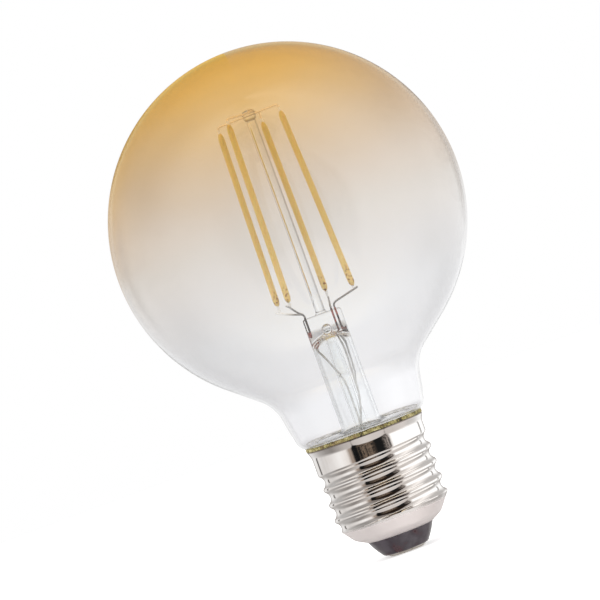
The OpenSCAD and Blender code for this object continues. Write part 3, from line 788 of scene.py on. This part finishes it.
def build_cement():
    fill_r = CAP_R - SHEET - 0.06
    low, high = corner("cap_cement", False).z, corner("cap_cement").z
    bead_r = reach("cap_cement")
    bond = 0.2  # how far it reaches into the glass, so that no gap shows
    glass = sorted((p for p in globe_outline(bond) if p[0] > SKIRT_R - bond + 0.01
                    and p[1] < high + 0.3), key=lambda p: p[1])
    outside = [(fill_r, low), (fill_r, LIP_FROM), (fill_r + 0.34, LIP_Z - 0.4),
               (fill_r + 0.5, LIP_Z - 0.05), (CAP_R + 0.35, LIP_Z + 0.04),
               (bead_r - 0.14, LIP_Z + 0.1), (bead_r - 0.06, LIP_Z + 0.22),
               (bead_r - 0.04, LIP_Z + 0.45), (bead_r - 0.08, high - 0.1),
               (bead_r - 0.14, high + 0.1)]
    inside = [(SKIRT_R - bond, low)] + glass

    def lumpy(r, z, a):
        """Uneven where it was pressed out over the lip, most of all along its top."""
        lump = eased((z - LIP_Z) / 0.2) * eased((r - CAP_R + 0.5) / 0.4)
        rr = r + lump * (0.1 * wave(r, z, a, 1.6, 2) - 0.04)
        rise = 0.14 * wave(r, z, a, 1.1, 5) + 0.22 * wave(r, z, a, 3.5, 7) - 0.06
        return (rr, z + lump * eased((z - LIP_Z - 0.2) / 0.5) * rise)

    finish_piece(revolve("lamp_cement", outside + inside[::-1], loop=True, sides=CAP_SIDES,
                         shape=lumpy, sharp=60), "cap_cement")


def build_insulator():
    low, top = corner("cap_insulator", False).z, corner("cap_insulator").z
    foot_r, foot_round, foot_z, shank_r, neck_r = 5.6, 0.9, low + 0.6, 1.0, 6.9
    shoulder_z = SHELL_LOW - 0.02
    foot = arc((foot_r - foot_round, low + foot_round), foot_round, -90, -20, 10)
    flank = [(foot_r + (INSULATOR_R - foot_r) * t + 0.12 * math.sin(math.pi * t),
              foot_z + (SHELL_LOW - low - 0.6) * t) for t in (0.15, 0.35, 0.55, 0.75, 0.92)]
    outline = ([(shank_r, low)] + foot + flank
               + [(INSULATOR_R, shoulder_z), (neck_r, shoulder_z), (neck_r, top - 0.4),
                  (neck_r - 0.4, top), (shank_r + 2, top), (shank_r, top - 1.4)])
    finish_piece(revolve("lamp_insulator", outline, loop=True, sharp=30), "cap_insulator")


build_globe()
build_stem()
build_exhaust()
build_rod()
build_button()
for number in (1, 2, 3, 4):
    build_filament(number)
build_shell()
build_cement()
build_insulator()


# ---------------------------------------------------------------- stage, light and camera

def build_floor():
    size, thick = 900, 1.0
    floor = revolve("floor", [(0, -thick), (size, -thick), (size, 0), (0, 0)], sides=SMALL_SIDES)
    floor.data.materials.append(pale_floor().material)
    floor.visible_transmission = False
    floor.visible_glossy = False


class Studio(Nodes):
    """The world. Azimuths are 0 in front of the lamp, 180 behind it and positive on the right."""

    def __init__(self):
        world = bpy.data.worlds.new("studio")
        bpy.context.scene.world = world
        world.use_nodes = True
        super().__init__(world.node_tree)
        self.tree.nodes.clear()
        self.direction = self.add("ShaderNodeTexCoord").outputs["Generated"]
        self.x, self.y, z = self.split(self.direction)
        around = self.maths("ARCTAN2", self.x, self.maths("MULTIPLY", self.y, -1))
        self.azimuth = self.maths("ADD", self.maths("MULTIPLY", around, 0.5 / math.pi), 0.5)
        elevation = self.maths("MULTIPLY", self.maths("ARCSINE", z), 1 / math.pi)
        self.rise = self.maths("ADD", elevation, 0.5)

    def by_azimuth(self, *stops):
        """A ramp round the lamp, its stops in degrees."""
        return self.ramp(self.azimuth, [(a / 360 + 0.5, colour) for a, colour in stops])

    def by_rise(self, *stops):
        """A ramp up the studio, its stops in degrees of elevation."""
        return self.ramp(self.rise, [(a / 180 + 0.5, colour) for a, colour in stops])

    def window(self, low, high, soft):
        """White between two elevations and black outside, with soft edges."""
        return self.by_rise((low - soft, BLACK), (low, WHITE), (high, WHITE), (high + soft, BLACK))

    def overlap(self, a, b):
        return self.maths("MULTIPLY", a, b)

    def inside(self, gap, soft):
        """0 where the gap is less than nothing, 1 where it is more than its soft edge."""
        node = self.add("ShaderNodeClamp")
        self.feed(node.inputs[0], self.maths("DIVIDE", gap, soft))
        return node.outputs[0]

    def tent(self):
        """White cloth round the lamp, greyer overhead and below, and open in front."""
        around = self.by_azimuth(
            (-180, grey(0.965)), (-177.5, grey(0.92)), (-160, grey(0.93)),
            (-130, grey(0.8, 0.025)), (-115, grey(0.7, 0.03)), (-87, grey(0.8, 0.035)),
            (-65, grey(0.97, 0.02)), (-49, grey(0.88, 0.05)), (-42, (0.36, 0.29, 0.24)),
            (42, grey(0.75, 0.06)), (49, grey(1.25)), (130, grey(1.25)), (165, WHITE),
            (173, WHITE), (180, grey(0.965)))
        overhead = self.by_azimuth(
            (-180, grey(0.5)), (-130, grey(0.5, 0.03)), (-85, grey(0.3, 0.06)),
            (-55, grey(0.4, 0.07)), (-42, grey(0.24, 0.12)), (0, grey(0.17, 0.12)),
            (40, grey(0.5, 0.08)), (80, grey(1.1, 0.04)), (120, grey(0.58, 0.04)),
            (180, grey(0.5)))
        below = self.by_azimuth(
            (-180, grey(0.5, 0.02)), (-130, grey(0.42, 0.04)), (-85, grey(0.27, 0.08)),
            (-55, grey(0.5, 0.07)), (0, grey(0.7, 0.06)), (50, grey(0.6, 0.08)),
            (90, grey(0.72, 0.06)), (125, grey(0.4, 0.05)), (180, grey(0.6, 0.02)))
        deep = self.by_azimuth(
            (-180, grey(0.5, 0.02)), (-130, grey(0.55, 0.03)), (0, grey(0.76, 0.04)),
            (80, grey(0.85, 0.03)), (135, grey(0.75, 0.03)), (180, grey(0.5, 0.02)))
        tent = self.mix(self.by_rise((8, BLACK), (25, WHITE)), around, overhead)
        tent = self.mix(self.by_rise((-28, WHITE), (-9, BLACK)), tent, below)
        return self.mix(self.by_rise((-68, WHITE), (-56, BLACK)), tent, deep)

    def with_room(self, tent):
        """The tent with the dark room in its opening: an arch with two dark walls."""
        centre, half_width, side_edge, edge = 3, 42, 0.1, 4 / 180
        degrees = self.maths("MULTIPLY", self.azimuth, 360)
        aside = self.maths("DIVIDE", self.maths("SUBTRACT", degrees, 180 + centre), half_width)
        bulge = self.overlap(aside, aside)
        ceiling = self.maths("SUBTRACT", 0.5 + 60 / 180, self.overlap(bulge, 48 / 180))
        ground = self.maths("SUBTRACT", 0.5 - 19 / 180, self.overlap(bulge, 26 / 180))
        under = self.inside(self.maths("SUBTRACT", ceiling, self.rise), edge)
        above = self.inside(self.maths("SUBTRACT", self.rise, ground), edge)
        off_centre = self.maths("ABSOLUTE", aside)
        between = self.inside(self.maths("SUBTRACT", 1.0, off_centre), side_edge)
        arch = self.overlap(self.overlap(under, above), between)
        colour = self.by_azimuth(
            (-39, (0.09, 0.06, 0.04)), (-35, grey(0.006)), (-27, grey(0.006)),
            (-21, (0.17, 0.125, 0.09)), (0, (0.26, 0.19, 0.14)), (8, (0.14, 0.1, 0.075)),
            (12, grey(0.012)), (26, grey(0.012)), (31, grey(0.2, 0.15)), (43, grey(0.5, 0.12)))
        speckle = self.add("ShaderNodeTexNoise")
        speckle.inputs["Scale"].default_value = 22
        speckle.inputs["Detail"].default_value = 4
        self.feed(speckle.inputs["Vector"], self.direction)
        spots = self.ramp(speckle.outputs["Fac"], [(0.44, BLACK), (0.54, WHITE)])
        colour = self.mix(spots, grey(0.012), colour)
        colour = self.mix(self.by_rise((8, BLACK), (20, WHITE)), colour, (0.02, 0.013, 0.009))
        return self.mix(arch, tent, colour)

    def in_metal(self, studio):
        """The studio with the two gaps beside the tent's cloth and greyer cloth behind."""
        left = self.by_azimuth((-140, BLACK), (-137, WHITE), (-134, WHITE), (-130, BLACK))
        right = self.by_azimuth((126, BLACK), (129, grey(0.75)), (133, grey(0.75)), (136, BLACK))
        behind = self.by_azimuth((-168, WHITE), (-152, BLACK), (152, BLACK), (168, WHITE))
        seen = self.mix(self.overlap(left, self.window(-9, 9, 6)), studio, grey(0.1, 0.1))
        seen = self.mix(self.overlap(right, self.window(-10, 16, 6)), seen, grey(0.14, 0.1))
        return self.mix(behind, seen, grey(0.45, 0.06))

    def in_glass(self, studio):
        """The studio with what glass mirrors at its rims: cards behind it and two dark lines."""
        left_card = self.by_rise(
            (-8, grey(0.86)), (-1, grey(0.78, 0.02)), (2, (0.64, 0.53, 0.42)),
            (7, (0.68, 0.48, 0.26)), (13, (0.8, 0.5, 0.14)), (35, (0.86, 0.56, 0.14)))
        right_card = self.by_rise(
            (-8, grey(0.97)), (-1, grey(0.86)), (2, (0.64, 0.57, 0.52)),
            (12, (0.62, 0.5, 0.4)), (25, (0.66, 0.5, 0.34)), (45, (0.8, 0.56, 0.26)))
        cards = self.mix(self.by_azimuth((-18, BLACK), (18, WHITE)), left_card, right_card)
        seen = self.mix(self.ramp(self.y, [(0.1, BLACK), (0.92, WHITE)]), studio, cards)
        left = self.by_azimuth((-146, BLACK), (-139, grey(0.5)), (-136, grey(0.5)), (-126, BLACK))
        seen = self.mix(self.overlap(left, self.window(-9, 9, 8)), seen, grey(0.14, 0.1))
        ring = self.ramp(self.y, [(0.8, BLACK), (0.88, grey(0.8)), (0.92, grey(0.8)),
                                  (0.96, BLACK)])
        right = self.overlap(ring, self.ramp(self.x, [(0.12, BLACK), (0.3, WHITE)]))
        return self.mix(self.overlap(right, self.window(-2, 6, 7)), seen, grey(0.26, 0.1))

    def through_glass(self, tent):
        """The tent with its front closed, and brighter behind the globe's lower right."""
        front = self.by_azimuth((-110, BLACK), (-70, WHITE), (70, WHITE), (110, BLACK))
        seen = self.mix(front, tent, grey(1.1))
        right = self.by_azimuth((165, BLACK), (172, WHITE), (178.0, WHITE), (178.7, BLACK))
        low = self.by_rise((-13, BLACK), (-7, WHITE), (-1.4, WHITE), (-0.6, BLACK))
        return self.mix(self.overlap(right, low), seen, grey(1.05))

    def build(self):
        """White to the camera, even light for matt surfaces, and the tent for the others."""
        tent = self.tent()
        studio = self.with_room(tent)
        ray = self.add("ShaderNodeLightPath").outputs
        # a mirror reflection off glass is singular, off the rougher metal it isn't
        seen = self.mix(ray["Is Singular Ray"], self.in_metal(studio), self.in_glass(studio))
        seen = self.mix(ray["Is Transmission Ray"], seen, self.through_glass(tent))
        seen = self.mix(ray["Is Diffuse Ray"], seen, grey(1.15))
        seen = self.mix(ray["Is Camera Ray"], seen, WHITE)
        background = self.add("ShaderNodeBackground")
        self.feed(background.inputs["Color"], seen)
        self.feed(self.add("ShaderNodeOutputWorld").inputs["Surface"], background.outputs[0])


def softbox(name, place, size, power):
    """A square lamp aimed at the origin, which only adds light and is never seen."""
    light = bpy.data.lights.new(name, "AREA")
    light.shape = "RECTANGLE"
    light.size, light.size_y = size, size
    light.energy = power
    obj = bpy.data.objects.new(name, light)
    obj.location = place
    obj.rotation_euler = (-Vector(place)).to_track_quat("-Z", "Y").to_euler()
    obj.visible_glossy = False
    obj.visible_transmission = False
    obj.visible_camera = False
    bpy.context.scene.collection.objects.link(obj)


def build_camera():
    """Side on to the lamp, rolled 20 degrees."""
    distance, across, roll = 0.775, 0.1336, math.radians(20)
    aim_x, aim_z = -0.0034, 0.0606
    camera = bpy.data.cameras.new("camera")
    camera.sensor_width = 36
    camera.lens = 36 * distance / across
    camera.clip_start = 0.01
    camera.clip_end = 20
    obj = bpy.data.objects.new("camera", camera)
    c, s = math.cos(roll), math.sin(roll)
    turn = Matrix(((c, s, 0), (0, 0, -1), (-s, c, 0)))
    obj.matrix_world = Matrix.Translation((aim_x, -distance, aim_z)) @ turn.to_4x4()
    bpy.context.scene.collection.objects.link(obj)
    bpy.context.scene.camera = obj


build_floor()
Studio().build()
softbox("softbox_left", (-1.2, -0.5, 0.9), 1.2, 14)
softbox("softbox_right", (1.3, -0.3, 0.7), 1.2, 10)
build_camera()

scene = bpy.context.scene
scene.view_settings.view_transform = "Standard"
scene.cycles.max_bounces = 32
scene.cycles.transmission_bounces = 32
scene.cycles.glossy_bounces = 8
scene.cycles.transparent_max_bounces = 16
